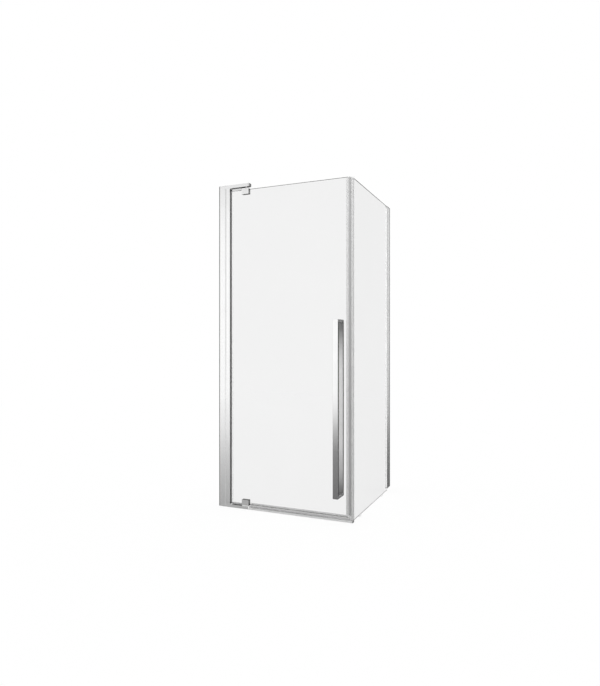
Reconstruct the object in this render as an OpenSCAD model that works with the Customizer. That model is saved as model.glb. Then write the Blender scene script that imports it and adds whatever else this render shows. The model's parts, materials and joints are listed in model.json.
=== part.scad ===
// Corner shower enclosure: a pivot door on the front and a fixed side panel on the right.
// The wall on the left stands at x = 0 and the wall at the back at y = overall_d.
// The front of the post and of the threshold is at y = 0, and the floor is at z = 0.

/* [Overall] */
// Width from the left wall to the outside of the corner seal
overall_w = 885; // [760:5:1200]
// Depth from the front of the post to the back wall
overall_d = 810; // [640:5:1100]
// Height of the door post
overall_h = 2000; // [1700:10:2200]

/* [Glass] */
// Thickness of both panes
glass_t = 8; // [6:1:10]
// Height of the door pane's lower edge above the lower arm
door_glass_lift = 10; // [9:1:14]
// Gap between the door pane's upper edge and the upper arm
door_glass_drop = 15; // [13:1:24]
// Gap between the door pane and the post
hinge_edge_gap = 8; // [6:1:12]
// Gap between the threshold and the side pane's lower edge
side_glass_gap = 2.5; // [0.2:0.1:4]
// How far the side pane stops below the top of the post
side_glass_drop = 45; // [20:5:80]

/* [Wall channels] */
// Depth of the channels, the post and the arms, square to the glass
profile_depth = 29; // [27:1:36]
// Width of each channel, measured from its wall
channel_w = 46; // [38:1:60]
// Wall thickness of the channels
channel_wall = 2; // [1.6:0.1:2.6]
// Radius of each channel's outer corner at the wall
channel_corner_r = 10; // [4:1:12]
// Thickness of the plates that close the door channel
channel_cap_t = 2; // [1:0.5:4]
// Free room behind each channel's web for the heads of the wall screws
fixing_room = 14; // [10:1:18]
// Gap on each side between a channel and what slides in it
slide_gap = 0.3; // [0.2:0.1:0.5]
// Radius of the holes for the wall screws
wall_hole_r = 3.25; // [2.5:0.25:4]
// Number of wall screws in each channel
wall_hole_count = 4; // [3:1:5]
// Distance between wall screws in the door channel
door_hole_pitch = 560; // [420:10:600]
// Distance between wall screws in the side channel
side_hole_pitch = 540; // [420:10:600]
// Number of screws that lock each channel and what slides in it
adjust_count = 3; // [2:1:4]
// How far those screws stand past the wall that they lock
screw_tip = 2; // [1:0.5:3]

/* [Door post] */
// Wall thickness of the post
post_wall = 2; // [1.6:0.1:2.6]
// Width of the recess that shows between the channel and the post's face
recess_w = 11; // [6:1:16]
// Width of the post's front face
post_face_w = 23; // [20:1:34]
// Outside radius of the screw ports inside the post
port_r = 4.5; // [4:0.25:5.5]
// Length of the screws that hold each arm
arm_screw_len = 42; // [30:2:60]

/* [Arms] */
// Height of the lower arm
arm_h = 17; // [16:1:24]
// Height of the upper arm
top_arm_h = 20; // [16:1:26]
// Length of both arms beyond the post
arm_reach = 136; // [120:2:180]
// Thickness of the caps on the ends of the arms
arm_cap_t = 8; // [4:1:12]
// Radius of the inner corner between an arm and the post
arm_fillet_r = 9; // [5:1:12]

/* [Pivots] */
// Distance from the pivot axis to the end of the arm
pivot_inset = 28.5; // [24:0.5:36]
// Radius of the pivot pins
pin_r = 5; // [4:0.25:6]
// Radial running gap of a pin in its bush
pin_gap = 0.05; // [0.02:0.01:0.08]
// How far each pin stops short of its bush's end
pin_stop = 2; // [1:0.5:4]
// Wall thickness of the bushes
bush_wall = 2.5; // [1.5:0.25:3]
// Length of each bush inside its clamp
bush_len = 18; // [14:1:20]
// Radius of the upper bush's flange
flange_r = 10; // [9:0.5:12]
// Thickness of the upper bush's flange
flange_t = 2; // [1.5:0.25:4]
// Thickness of the plate on the lower bush that covers the underside of its clamp
foot_plate_t = 2.6; // [2:0.2:3.4]
// Running gap under the lower bush
thrust_gap = 0.2; // [0.1:0.05:0.4]
// Radius of the bearing face on the lower arm
bearing_r = 24; // [20:0.5:24]
// How deep each pin sits in its arm
pin_seat = 13; // [11:0.5:14]
// Radius of the screws that lock the pins
grub_r = 2.5; // [2:0.25:3]
// Length of the screws that lock the pins
grub_len = 8; // [6:0.5:9]

/* [Glass clamps] */
// Width of each clamp
clamp_w = 47; // [44:1:60]
// Height of each clamp
clamp_h = 34; // [33:1:44]
// Thickness of each clamp half over the glass
clamp_plate_t = 7; // [6:0.5:9]
// Thickness of the pads between a clamp and the glass
clamp_pad_t = 1; // [0.5:0.25:2]
// How far the upper clamp covers the glass edge
upper_cover = 4; // [3:0.5:6]
// How far the lower clamp covers the glass edge
lower_cover = 5; // [3:0.5:5.5]
// Width of the notch in the glass
notch_w = 34; // [32:1:38]
// Height of the notch in the glass
notch_h = 20; // [18:1:22]
// Gap around the clamp's core in the notch
core_gap = 0.5; // [0.3:0.1:0.8]
// Distance of the clamp screws from the pivot axis
clamp_screw_x = 12; // [11.5:0.25:12.5]
// Radius of the small screws
screw_r = 2; // [1.5:0.25:2.5]
// Radius of the small screws' heads
screw_head_r = 3.6; // [3.2:0.1:4]
// Height of the small screws' heads
screw_head_h = 2.6; // [2:0.1:3]
// Gap around a screw in its hole
screw_gap = 0.1; // [0.05:0.05:0.2]
// Wall of the outer clamp half in front of the blind screw holes
blind_wall = 2; // [1.5:0.5:3]
// Gap between a clamp screw and the end of its hole
blind_gap = 1; // [0.5:0.5:2]

/* [Handle] */
// Overall length of the handle
handle_len = 1019; // [400:1:1200]
// Height of the handle's lower end above the floor
handle_z = 135; // [120:5:500]
// Width of the handle bars
bar_w = 31; // [24:1:40]
// Thickness of the handle bars
bar_t = 18; // [14:1:24]
// Gap between a bar and the glass
grip_gap = 31; // [26:1:45]
// Height of the two ends that reach the glass
return_h = 16; // [14:1:24]
// Distance from the door pane's free edge to the handle
handle_inset = 44.5; // [36:0.5:90]
// Wall thickness of the handle
handle_wall = 1.8; // [1.2:0.1:2.4]
// Thickness of the handle's ends at the glass
handle_foot_t = 12; // [10:0.5:14]
// Radius of the studs through the glass
stud_r = 4; // [3:0.5:4.5]
// How far a stud enters each handle half
stud_grip = 11; // [8:0.5:13]
// Wall thickness of the sleeves in the glass
sleeve_wall = 3; // [1.5:0.25:3]
// Thickness of the washers between handle and glass
washer_t = 1; // [0.5:0.25:2]

/* [Corner seals] */
// Width of the side pane's corner seal
strike_w = 20; // [18:0.5:24]
// Distance of the corner seal's front behind the front of the post
strike_front_y = 10; // [8.5:0.5:10.5]
// Thickness of the corner seal in front of the side pane's edge
strike_base_t = 2.5; // [1.5:0.25:5]
// Wall thickness of the side pane's corner seal
strike_wall = 1.5; // [1:0.1:1.6]
// How far the corner seal reaches over the side pane
strike_grip = 12; // [10:1:18]
// Width of each magnet strip
magnet_w = 5.3; // [4:0.1:7]
// Depth of each magnet strip
magnet_d = 9; // [7:0.5:9.5]
// Gap between the two magnet strips
magnet_gap = 0.4; // [0.3:0.1:1]
// Width of the hollow part of the door's closing seal
carrier_w = 5; // [4:0.5:8]
// Wall thickness of the clear clip-on seals
seal_wall = 1.2; // [0.8:0.1:1.4]
// How far the clip-on seals reach over the glass
seal_grip = 12; // [9:1:16]
// Thickness of the stop fin behind the door's closing seal
stop_fin_t = 1.5; // [1:0.1:2]
// Gap between the closed door and the stop fin
stop_gap = 0.8; // [0.4:0.1:1.2]

/* [Edge seals] */
// How far the lower seal reaches over the glass
lower_seal_grip = 12; // [9:1:18]
// Height of the hollow part of the lower seal
lower_seal_box_h = 8; // [6:0.5:9]
// Gap between the lower seal and the threshold
sweep_gap = 0.7; // [0.4:0.1:1.2]
// Thickness of the sealing lips
lip_t = 1; // [0.8:0.1:1.4]
// Gap between a clamp and the seal beside it
seal_clamp_gap = 10; // [9:0.5:14]
// How far the seals beside the post reach over the glass
hinge_seal_grip = 7; // [6:1:14]
// Height of the hollow part of the seals beside the post
hinge_seal_box_h = 5; // [3.5:0.5:5.5]
// Gap between the seals beside the post and the arms
hinge_lip_gap = 1; // [0.5:0.1:1.5]
// Gap between the seal on the hinge edge and the post
hinge_seal_gap = 1.2; // [1:0.1:2]

/* [Threshold] */
// Height of the threshold
threshold_h = 10.5; // [8:0.5:15]
// Depth of the threshold
threshold_d = 27; // [24:0.5:29]
// Wall thickness of the threshold
threshold_wall = 1.8; // [1.2:0.1:2.4]
// Width of the slope at the back of the threshold
threshold_slope = 5; // [2:0.5:6]
// Width of the bevel at the front of the threshold
threshold_bevel = 2; // [1:0.25:3]
// How far the threshold stops short of the outside of the corner seal
threshold_inset = 5; // [2:0.5:8]
// Thickness of the cap on the threshold's end
threshold_cap_t = 3; // [2:0.5:5]

/* [Side profile] */
// How far the side profile stands out from the pane on each side
side_lip_t = 4; // [3.5:0.5:10]
// Radius of the side channel's outer corner at the wall
side_corner_r = 4; // [2:0.5:5]
// Width of the glazing profile's face
glazing_face_w = 23; // [20:1:34]
// Wall thickness of the glazing profile
glazing_wall = 2; // [1.6:0.1:2.6]
// Depth of the gaskets at the side pane
gasket_d = 9; // [6:0.5:12]
// Gap between the side pane and the end of its pocket
edge_block_t = 6; // [4:0.5:8]
// Height of the caps on the side profile
side_cap_h = 10; // [6:1:16]
// Height of the side profile's lower end above the floor
side_profile_lift = 28; // [18:1:40]
// Length of the blocks under the side pane
setting_len = 30; // [20:5:60]
// Distance of those blocks from the pane's ends
setting_inset = 125; // [60:5:200]

/* [Hidden] */

$fn = 48;
cut = 1;                                    // how far a cutting body stands past a face

// Post and channels along x
tongue_x = channel_wall + fixing_room;
post_x = channel_w + recess_w;
post_end_x = post_x + post_face_w;
arm_end_x = post_end_x + arm_reach;
pivot_x = arm_end_x - pivot_inset;
glass_y = profile_depth / 2;                // middle of the door pane
tongue_inset = channel_wall + slide_gap;
wall_hole_y = (channel_corner_r + profile_depth) / 2;

// Corner along x, from the outside inwards
side_x = overall_w - strike_wall - glass_t / 2;       // middle of the side pane
strike_x = overall_w - strike_w;
strike_magnet_x = strike_x - magnet_w;
closing_magnet_x = strike_magnet_x - magnet_gap - magnet_w;
door_x1 = closing_magnet_x - carrier_w;
door_x0 = post_end_x + hinge_edge_gap;
seal_half = glass_t / 2 + seal_wall;        // half the depth of a clip-on seal
stop_y = glass_y + seal_half + stop_gap;    // front of the fin that the door shuts against

// Heights of the door
door_z0 = arm_h + door_glass_lift;           // lower edge of the door pane
door_z1 = overall_h - top_arm_h - door_glass_drop;
door_seal_z = door_z0 + lower_seal_grip;
lower_clamp_z = door_z0 - lower_cover;
upper_clamp_z = door_z1 + upper_cover;      // top of the upper clamp
bush_r = pin_r + pin_gap + bush_wall;
bearing_z = lower_clamp_z - foot_plate_t - thrust_gap;        // top of the bearing face
clamp_half = glass_t / 2 + clamp_pad_t + clamp_plate_t;
core_half_w = notch_w / 2 - core_gap;
clamp_screw_drop = (notch_h + upper_cover) / 2;
clamp_screw_rise = (notch_h + lower_cover) / 2;

// Side pane and its profile along y
side_y0 = strike_front_y + strike_base_t;
tongue_end_y = overall_d - channel_wall - fixing_room;
channel_y = overall_d - channel_w;
glazing_end_y = channel_y - recess_w;
glazing_y = glazing_end_y - glazing_face_w;
pocket_end_y = glazing_end_y - glazing_wall;
side_y1 = pocket_end_y - edge_block_t;
side_z0 = threshold_h + side_glass_gap;
side_z1 = overall_h - side_glass_drop;
profile_z0 = side_profile_lift + side_cap_h;
profile_z1 = side_z1 - side_cap_h;
side_profile_t = glass_t + 2 * side_lip_t;
profile_x0 = side_x - side_profile_t / 2;
profile_x1 = side_x + side_profile_t / 2;
side_hole_x = profile_x1 - (side_corner_r + side_profile_t) / 2;

// Handle
handle_x = door_x1 - handle_inset - bar_w / 2;
handle_half = glass_t / 2 + grip_gap + bar_t;         // glass middle to a bar's face
foot_y = glass_t / 2 + washer_t;
sleeve_r = stud_r + sleeve_wall;
stud_heights = [handle_z + return_h / 2, handle_z + handle_len - return_h / 2];

// Screw positions
adjust_share = [for (i = [1:adjust_count]) (2 * i - 1) / (2 * adjust_count)];
adjust_heights = [for (share = adjust_share) overall_h * share];
side_adjust_heights = [for (share = adjust_share)
    profile_z0 + (profile_z1 - profile_z0) * share];
door_hole_heights = [for (i = [0:wall_hole_count - 1])
    overall_h / 2 + (i - (wall_hole_count - 1) / 2) * door_hole_pitch];
side_hole_heights = [for (i = [0:wall_hole_count - 1])
    (profile_z0 + profile_z1) / 2 + (i - (wall_hole_count - 1) / 2) * side_hole_pitch];
adjust_x = (tongue_x + channel_w) / 2;      // middle of the overlap in the door channel
port_bite = 0.5;                            // how far a port's rim runs into the post's wall
port_inset = channel_wall + port_r - port_bite;
port_x = post_x + post_face_w / 2;
head_clear = 1;                             // how far the arm screws' heads lie below the face
arm_head_sink = screw_head_h + head_clear;

// The origin lies under the middle of the whole enclosure
origin_x = profile_x1 / 2;
origin_y = (overall_d + glass_y - handle_half) / 2;

module placed() {
    translate([-origin_x, -origin_y, 0]) children();
}

// A box from its lowest corner to its highest
module span(low, high) {
    translate(low) cube(high - low);
}

// A rectangle from its lowest corner to its highest
module patch(low, high) {
    translate(low) square(high - low);
}

// A rod along x, y or z from a start point; a negative length runs backwards
module rod_x(from, r, len) {
    translate(from) rotate([0, 90, 0]) cylinder(r = r, h = len);
}
module rod_y(from, r, len) {
    translate(from) rotate([-90, 0, 0]) cylinder(r = r, h = len);
}
module rod_z(from, r, len) {
    translate(from) cylinder(r = r, h = len);
}

// A screw whose head sits on the plane z = 0 and whose shank runs to -z
module screw(len) {
    cylinder(r = screw_head_r, h = screw_head_h);
    translate([0, 0, -len]) cylinder(r = screw_r, h = len);
}

// The section of a seal that clips over a glass edge. The edge lies along y = 0 and
// the glass stands on the +y side. grip is the reach over the glass.
module clip_section(grip, box_h) {
    difference() {
        patch([-seal_half, -box_h], [seal_half, grip]);
        patch([-glass_t / 2, 0], [glass_t / 2, grip + cut]);
        patch([-glass_t / 2, seal_wall - box_h], [glass_t / 2, -seal_wall]);
    }
}

// The same with two lips that hang below it
module lipped_section(grip, box_h, lip_h) {
    clip_section(grip, box_h);
    for (side = [-1, 1])
        translate([side * (glass_t / 2 + seal_wall / 2 - lip_t), -box_h - lip_h])
            patch([-lip_t / 2, 0], [lip_t / 2, lip_h + seal_wall / 2]);
}

// A profile drawn with x across the glass and y up, run along x from x0 to x1
module run_x(x0, x1, z) {
    translate([x0, glass_y, z]) rotate([90, 0, 90]) linear_extrude(x1 - x0) children();
}

// Door side of the wall fixing

// The channel's outline with one corner rounded at the wall
module channel_outline(w, d, r) {
    patch([r, 0], [w, d]);
    patch([0, r], [w, d]);
    translate([r, r]) circle(r);
}

// The channel itself, d deep across the glass
module channel_section(d, r) {
    difference() {
        channel_outline(channel_w, d, r);
        translate([channel_wall, channel_wall])
            channel_outline(channel_w, d - 2 * channel_wall, max(r - channel_wall, slide_gap));
    }
}

module door_wall_channel() {
    color("silver") placed() difference() {
        translate([0, 0, channel_cap_t])
            linear_extrude(overall_h - 2 * channel_cap_t)
                channel_section(profile_depth, channel_corner_r);
        for (z = door_hole_heights)
            rod_x([-cut, wall_hole_y, z], wall_hole_r, channel_wall + 2 * cut);
        for (z = adjust_heights)
            rod_y([adjust_x, profile_depth - channel_wall - cut, z], screw_r + screw_gap,
                  channel_wall + 2 * cut);
    }
}

// The plug fills the channel's end as high as the arm beside it
module channel_cap(end_h) {
    linear_extrude(channel_cap_t) channel_outline(post_x, profile_depth, channel_corner_r);
    span([channel_corner_r, tongue_inset, channel_cap_t],
         [post_x, profile_depth - tongue_inset, end_h - slide_gap]);
}

module door_channel_caps() {
    color("silver") placed() {
        channel_cap(arm_h);
        translate([0, 0, overall_h]) mirror([0, 0, 1]) channel_cap(top_arm_h);
    }
}

module tongue_section(x0, x1) {
    difference() {
        patch([x0, tongue_inset], [x1, profile_depth - tongue_inset]);
        patch([x0 + post_wall, tongue_inset + post_wall],
              [x1 + cut, profile_depth - tongue_inset - post_wall]);
    }
}

module post_section() {
    difference() {
        union() {
            difference() {
                patch([post_x, 0], [post_end_x, profile_depth]);
                patch([post_x + post_wall, post_wall],
                      [post_end_x - post_wall, profile_depth - post_wall]);
            }
            for (y = [port_inset, profile_depth - port_inset])
                translate([port_x, y]) circle(port_r);
        }
        for (y = [port_inset, profile_depth - port_inset])
            translate([port_x, y]) circle(screw_r + screw_gap);
    }
    tongue_section(tongue_x, post_x);
}

module pivot_post() {
    color("silver") placed() difference() {
        translate([0, 0, arm_h]) linear_extrude(overall_h - arm_h - top_arm_h) post_section();
        for (z = adjust_heights)
            rod_y([adjust_x, profile_depth - tongue_inset - post_wall - cut, z],
                  screw_r + screw_gap, post_wall + 2 * cut);
    }
}

module door_adjust_screws() {
    color("gainsboro") placed() for (z = adjust_heights)
        translate([adjust_x, profile_depth, z]) rotate([-90, 0, 0])
            screw(tongue_inset + post_wall + screw_tip);
}

// Arms and pivots

module arm_body(h) {
    difference() {
        union() {
            span([post_x, 0, 0], [arm_end_x - arm_cap_t, profile_depth, h]);
            difference() {
                span([post_end_x, 0, h],
                     [post_end_x + arm_fillet_r, profile_depth, h + arm_fillet_r]);
                rod_y([post_end_x + arm_fillet_r, -cut, h + arm_fillet_r], arm_fillet_r,
                      profile_depth + 2 * cut);
            }
        }
        rod_z([pivot_x, glass_y, h - pin_seat], pin_r, pin_seat + cut);
        rod_y([pivot_x, glass_y, h / 2], grub_r, profile_depth);
        for (y = [port_inset, profile_depth - port_inset]) {
            rod_z([port_x, y, -cut], screw_r + screw_gap, h + 2 * cut);
            rod_z([port_x, y, -cut], screw_head_r + screw_gap, arm_head_sink + cut);
        }
    }
}

module bottom_arm() {
    color("silver") placed() arm_body(arm_h);
}

module top_arm() {
    color("silver") placed() translate([0, 0, overall_h]) mirror([0, 0, 1])
        arm_body(top_arm_h);
}

module arm_screw_pair() {
    for (y = [port_inset, profile_depth - port_inset])
        translate([port_x, y, arm_head_sink]) mirror([0, 0, 1]) screw(arm_screw_len);
}

module arm_screws() {
    color("gainsboro") placed() {
        arm_screw_pair();
        translate([0, 0, overall_h]) mirror([0, 0, 1]) arm_screw_pair();
    }
}

module bottom_pivot_pin() {
    z0 = arm_h - pin_seat;
    color("gainsboro") placed()
        rod_z([pivot_x, glass_y, z0], pin_r, lower_clamp_z + bush_len - pin_stop - z0);
}

module top_pivot_pin() {
    z0 = upper_clamp_z - bush_len + pin_stop;
    color("gainsboro") placed()
        rod_z([pivot_x, glass_y, z0], pin_r, overall_h - top_arm_h + pin_seat - z0);
}

module pivot_grub_screws() {
    color("dimgray") placed() for (z = [arm_h / 2, overall_h - top_arm_h / 2])
        rod_y([pivot_x, glass_y + pin_r + screw_gap, z], grub_r - screw_gap, grub_len);
}

module top_arm_cap() {
    color("dimgray") placed() span([arm_end_x - arm_cap_t, 0, overall_h - top_arm_h],
                                   [arm_end_x, profile_depth, overall_h]);
}

// The lower arm's cap carries the door: it reaches back over the arm and round the pin
module bottom_bearing_cap() {
    left = pivot_x - bearing_r;
    color("white") placed() difference() {
        span([left, 0, 0], [arm_end_x, profile_depth, bearing_z]);
        span([left - cut, -cut, -cut],
             [arm_end_x - arm_cap_t, profile_depth + cut, arm_h]);
        rod_z([pivot_x, glass_y, arm_h - cut], pin_r + screw_gap, bearing_z - arm_h + 2 * cut);
        difference() {
            span([left - cut, -cut, arm_h - cut], [pivot_x, profile_depth + cut, bearing_z + cut]);
            rod_z([pivot_x, glass_y, arm_h - 2 * cut], bearing_r, bearing_z - arm_h + 4 * cut);
        }
    }
}

// Threshold

module threshold_outline(inset) {
    polygon([
        [inset, inset > 0 ? -cut : 0],
        [inset, threshold_h - threshold_bevel - inset / 2],
        [threshold_bevel + inset / 2, threshold_h - inset],
        [threshold_d - threshold_slope - inset / 2, threshold_h - inset],
        [threshold_d - inset, threshold_wall + inset / 2],
        [threshold_d - inset, inset > 0 ? -cut : 0]]);
}

// A profile drawn with x along the depth and y up, run along x from x0 to x1
module threshold_run(x0, x1) {
    translate([x0, 0, 0]) rotate([90, 0, 90]) linear_extrude(x1 - x0) children();
}

module threshold() {
    x1 = overall_w - threshold_inset - threshold_cap_t;
    rib_y = threshold_d / 2;
    color("gainsboro") placed() threshold_run(arm_end_x, x1) difference() {
        threshold_outline(0);
        difference() {
            threshold_outline(threshold_wall);
            patch([rib_y - threshold_wall / 2, -2 * cut],
                  [rib_y + threshold_wall / 2, threshold_h]);
        }
    }
}

module threshold_end_cap() {
    x1 = overall_w - threshold_inset;
    color("dimgray") placed() threshold_run(x1 - threshold_cap_t, x1) threshold_outline(0);
}

// Side pane and its wall profile

module side_glass() {
    color("lightcyan", 0.4) placed()
        span([side_x - glass_t / 2, side_y0, side_z0], [side_x + glass_t / 2, side_y1, side_z1]);
}

// Turns a section that is drawn with x away from the wall and y away from the outside
// so that it starts at the back wall
module at_back_wall() {
    translate([profile_x1, overall_d]) mirror([1, 1]) children();
}

module side_wall_channel() {
    color("silver") placed() difference() {
        translate([0, 0, profile_z0]) linear_extrude(profile_z1 - profile_z0)
            at_back_wall() channel_section(side_profile_t, side_corner_r);
        for (z = side_hole_heights)
            rod_y([side_hole_x, overall_d - channel_wall - cut, z], wall_hole_r,
                  channel_wall + 2 * cut);
        for (z = side_adjust_heights)
            rod_x([profile_x0 - cut, overall_d - adjust_x, z], screw_r + screw_gap,
                  channel_wall + 2 * cut);
    }
}

// A face that grips the pane and a hollow tongue that slides in the channel
module glazing_section() {
    half = side_profile_t / 2;
    pocket = half - glazing_wall;
    outer = half - tongue_inset;
    inner = outer - glazing_wall;
    difference() {
        union() {
            patch([-half, glazing_y], [half, glazing_end_y]);
            patch([-outer, glazing_end_y - cut], [outer, tongue_end_y]);
        }
        patch([-pocket, glazing_y - cut], [pocket, pocket_end_y]);
        patch([-inner, glazing_end_y], [inner, tongue_end_y - glazing_wall]);
    }
}

module side_glazing_profile() {
    color("silver") placed() difference() {
        translate([side_x, 0, profile_z0]) linear_extrude(profile_z1 - profile_z0)
            glazing_section();
        for (z = side_adjust_heights)
            rod_x([profile_x0 + tongue_inset - cut, overall_d - adjust_x, z],
                  screw_r + screw_gap, glazing_wall + 2 * cut);
    }
}

module side_adjust_screws() {
    color("gainsboro") placed() for (z = side_adjust_heights)
        translate([profile_x0, overall_d - adjust_x, z]) rotate([0, -90, 0])
            screw(tongue_inset + glazing_wall + screw_tip);
}

module side_cap() {
    difference() {
        linear_extrude(side_cap_h) at_back_wall()
            channel_outline(overall_d - glazing_y, side_profile_t, side_corner_r);
        span([side_x - glass_t / 2 - slide_gap, glazing_y - cut, -cut],
             [side_x + glass_t / 2 + slide_gap, side_y1 + slide_gap, side_cap_h + cut]);
    }
}

module side_profile_caps() {
    color("dimgray") placed() for (z = [side_profile_lift, profile_z1])
        translate([0, 0, z]) side_cap();
}

module side_gasket(x0, x1) {
    color("dimgray") placed()
        span([x0, glazing_y, profile_z0], [x1, glazing_y + gasket_d, profile_z1]);
}

module side_outer_gasket() { side_gasket(side_x + glass_t / 2, profile_x1 - glazing_wall); }
module side_inner_gasket() { side_gasket(profile_x0 + glazing_wall, side_x - glass_t / 2); }

module side_edge_blocks() {
    color("dimgray") placed() for (z = side_adjust_heights)
        span([side_x - glass_t / 2, side_y1, z - setting_len / 2],
             [side_x + glass_t / 2, pocket_end_y, z + setting_len / 2]);
}

module side_setting_blocks() {
    color("lightcyan") placed() for (y = [side_y0 + setting_inset, side_y1 - setting_inset])
        span([side_x - glass_t / 2, y - setting_len / 2, 0],
             [side_x + glass_t / 2, y + setting_len / 2, side_z0]);
}

// Corner seals and magnets

module strike_seal() {
    glass_x0 = side_x - glass_t / 2;
    back_y = stop_y + stop_fin_t;
    leg_end_y = side_y0 + strike_grip;
    color("whitesmoke", 0.7) placed() translate([0, 0, threshold_h])
        linear_extrude(side_z1 - threshold_h) difference() {
            patch([closing_magnet_x, strike_front_y], [overall_w, leg_end_y]);
            patch([closing_magnet_x - cut, strike_front_y - cut], [strike_x, stop_y]);
            patch([closing_magnet_x - cut, back_y], [glass_x0 - strike_wall, leg_end_y + cut]);
            patch([glass_x0, side_y0], [glass_x0 + glass_t, leg_end_y + cut]);
            patch([strike_x + strike_wall, strike_front_y + strike_wall],
                  [glass_x0 - strike_wall, back_y - strike_wall]);
        }
}

module magnet_strip(x, z1) {
    color("dimgray") placed()
        span([x, glass_y - magnet_d / 2, door_seal_z], [x + magnet_w, glass_y + magnet_d / 2, z1]);
}

module strike_magnet() { magnet_strip(strike_magnet_x, side_z1); }
module closing_magnet() { magnet_strip(closing_magnet_x, door_z1); }

module closing_seal() {
    color("whitesmoke", 0.7) placed() translate([door_x1, glass_y, door_seal_z])
        linear_extrude(door_z1 - door_seal_z) rotate(90) clip_section(seal_grip, carrier_w);
}

// Door pane

module notch(z) {
    span([pivot_x - notch_w / 2, glass_y - glass_t, min(z, z + notch_h)],
         [pivot_x + notch_w / 2, glass_y + glass_t, max(z, z + notch_h)]);
}

module door_glass() {
    color("lightcyan", 0.4) placed() difference() {
        span([door_x0, glass_y - glass_t / 2, door_z0], [door_x1, glass_y + glass_t / 2, door_z1]);
        notch(door_z0 - cut);
        translate([0, 0, cut]) notch(door_z0 - cut);
        notch(door_z1 - notch_h);
        translate([0, 0, cut]) notch(door_z1 - notch_h);
        for (z = stud_heights)
            rod_y([handle_x, glass_y - glass_t, z], sleeve_r, 2 * glass_t);
    }
}

// Clamps. Each half is drawn for the lower edge at z = 0 of the glass edge, on the
// front side of the glass, and mirrored for the other places.

module clamp_half_body(cover, screw_z, head_side) {
    difference() {
        union() {
            span([-clamp_w / 2, -clamp_half, -cover],
                 [clamp_w / 2, -glass_t / 2 - clamp_pad_t, clamp_h - cover]);
            span([-core_half_w, -glass_t / 2 - clamp_pad_t - cut, -cover],
                 [core_half_w, 0, notch_h - core_gap]);
            span([-clamp_w / 2, -glass_t / 2 - clamp_pad_t - cut, -cover],
                 [clamp_w / 2, 0, -core_gap]);
        }
        rod_z([0, 0, -cover - cut], bush_r, bush_len + cut);
        for (x = [-clamp_screw_x, clamp_screw_x]) {
            if (head_side) {
                rod_y([x, -clamp_half - cut, screw_z], screw_r + screw_gap, clamp_half + 2 * cut);
                rod_y([x, -clamp_half - cut, screw_z], screw_head_r + screw_gap,
                      screw_head_h + cut);
            } else {
                rod_y([x, -clamp_half + blind_wall, screw_z], screw_r + screw_gap,
                      clamp_half + cut);
            }
        }
    }
}

module at_lower_edge() {
    placed() translate([pivot_x, glass_y, door_z0]) children();
}
module at_upper_edge() {
    placed() translate([pivot_x, glass_y, door_z1]) mirror([0, 0, 1]) children();
}

module bottom_clamp_outer() {
    color("silver") at_lower_edge() clamp_half_body(lower_cover, clamp_screw_rise - lower_cover,
                                                    false);
}
module bottom_clamp_inner() {
    color("silver") at_lower_edge() mirror([0, 1, 0])
        clamp_half_body(lower_cover, clamp_screw_rise - lower_cover, true);
}
module top_clamp_outer() {
    color("silver") at_upper_edge() clamp_half_body(upper_cover, clamp_screw_drop - upper_cover,
                                                    false);
}
module top_clamp_inner() {
    color("silver") at_upper_edge() mirror([0, 1, 0])
        clamp_half_body(upper_cover, clamp_screw_drop - upper_cover, true);
}

module clamp_pad_pair(cover) {
    for (side = [0, 1]) mirror([0, side, 0]) difference() {
        span([-clamp_w / 2, glass_t / 2, 0],
             [clamp_w / 2, glass_t / 2 + clamp_pad_t, clamp_h - cover]);
        span([-notch_w / 2, 0, -cut], [notch_w / 2, clamp_half, notch_h]);
    }
}

module clamp_pads() {
    color("whitesmoke") {
        at_lower_edge() clamp_pad_pair(lower_cover);
        at_upper_edge() clamp_pad_pair(upper_cover);
    }
}

module clamp_screw_pair(screw_z) {
    for (x = [-clamp_screw_x, clamp_screw_x])
        translate([x, clamp_half - screw_head_h, screw_z]) rotate([-90, 0, 0])
            screw(2 * clamp_half - screw_head_h - blind_wall - blind_gap);
}

module clamp_screws() {
    color("gainsboro") {
        at_lower_edge() clamp_screw_pair(clamp_screw_rise - lower_cover);
        at_upper_edge() clamp_screw_pair(clamp_screw_drop - upper_cover);
    }
}

// A bush with the flange that is drawn for it as a section
module pivot_bush(cover, flange_h) {
    difference() {
        union() {
            rod_z([0, 0, -cover - cut], bush_r, bush_len + cut);
            translate([0, 0, -cover - flange_h]) linear_extrude(flange_h) children();
        }
        rod_z([0, 0, -cover - flange_h - cut], pin_r + pin_gap, bush_len + flange_h + 2 * cut);
    }
}

module bottom_pivot_bush() {
    color("white") at_lower_edge() pivot_bush(lower_cover, foot_plate_t)
        square([clamp_w, 2 * clamp_half], center = true);
}
module top_pivot_bush() {
    color("white") at_upper_edge() pivot_bush(upper_cover, flange_t) circle(flange_r);
}

// Handle. Each half is drawn on the front side of the glass, with the glass middle at y = 0.

module handle_solid(shrink, foot) {
    w = bar_w / 2 - shrink;
    span([-w, -handle_half + shrink, shrink],
         [w, -handle_half + bar_t - shrink, handle_len - shrink]);
    for (z = [0, handle_len - return_h])
        span([-w, -handle_half + shrink, z + shrink], [w, -foot, z + return_h - shrink]);
}

module handle_body() {
    difference() {
        handle_solid(0, foot_y);
        handle_solid(handle_wall, foot_y + handle_foot_t);
        for (z = [return_h / 2, handle_len - return_h / 2])
            rod_y([0, -foot_y - handle_foot_t - cut, z], stud_r + screw_gap,
                  handle_foot_t + 2 * cut);
    }
}

module at_handle() {
    placed() translate([handle_x, glass_y, handle_z]) children();
}

module handle_outer() {
    color("silver") at_handle() handle_body();
}
module handle_inner() {
    color("silver") at_handle() mirror([0, 1, 0]) handle_body();
}

module handle_studs() {
    half = foot_y + stud_grip;
    color("gainsboro") placed() for (z = stud_heights)
        rod_y([handle_x, glass_y - half, z], stud_r, 2 * half);
}

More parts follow.
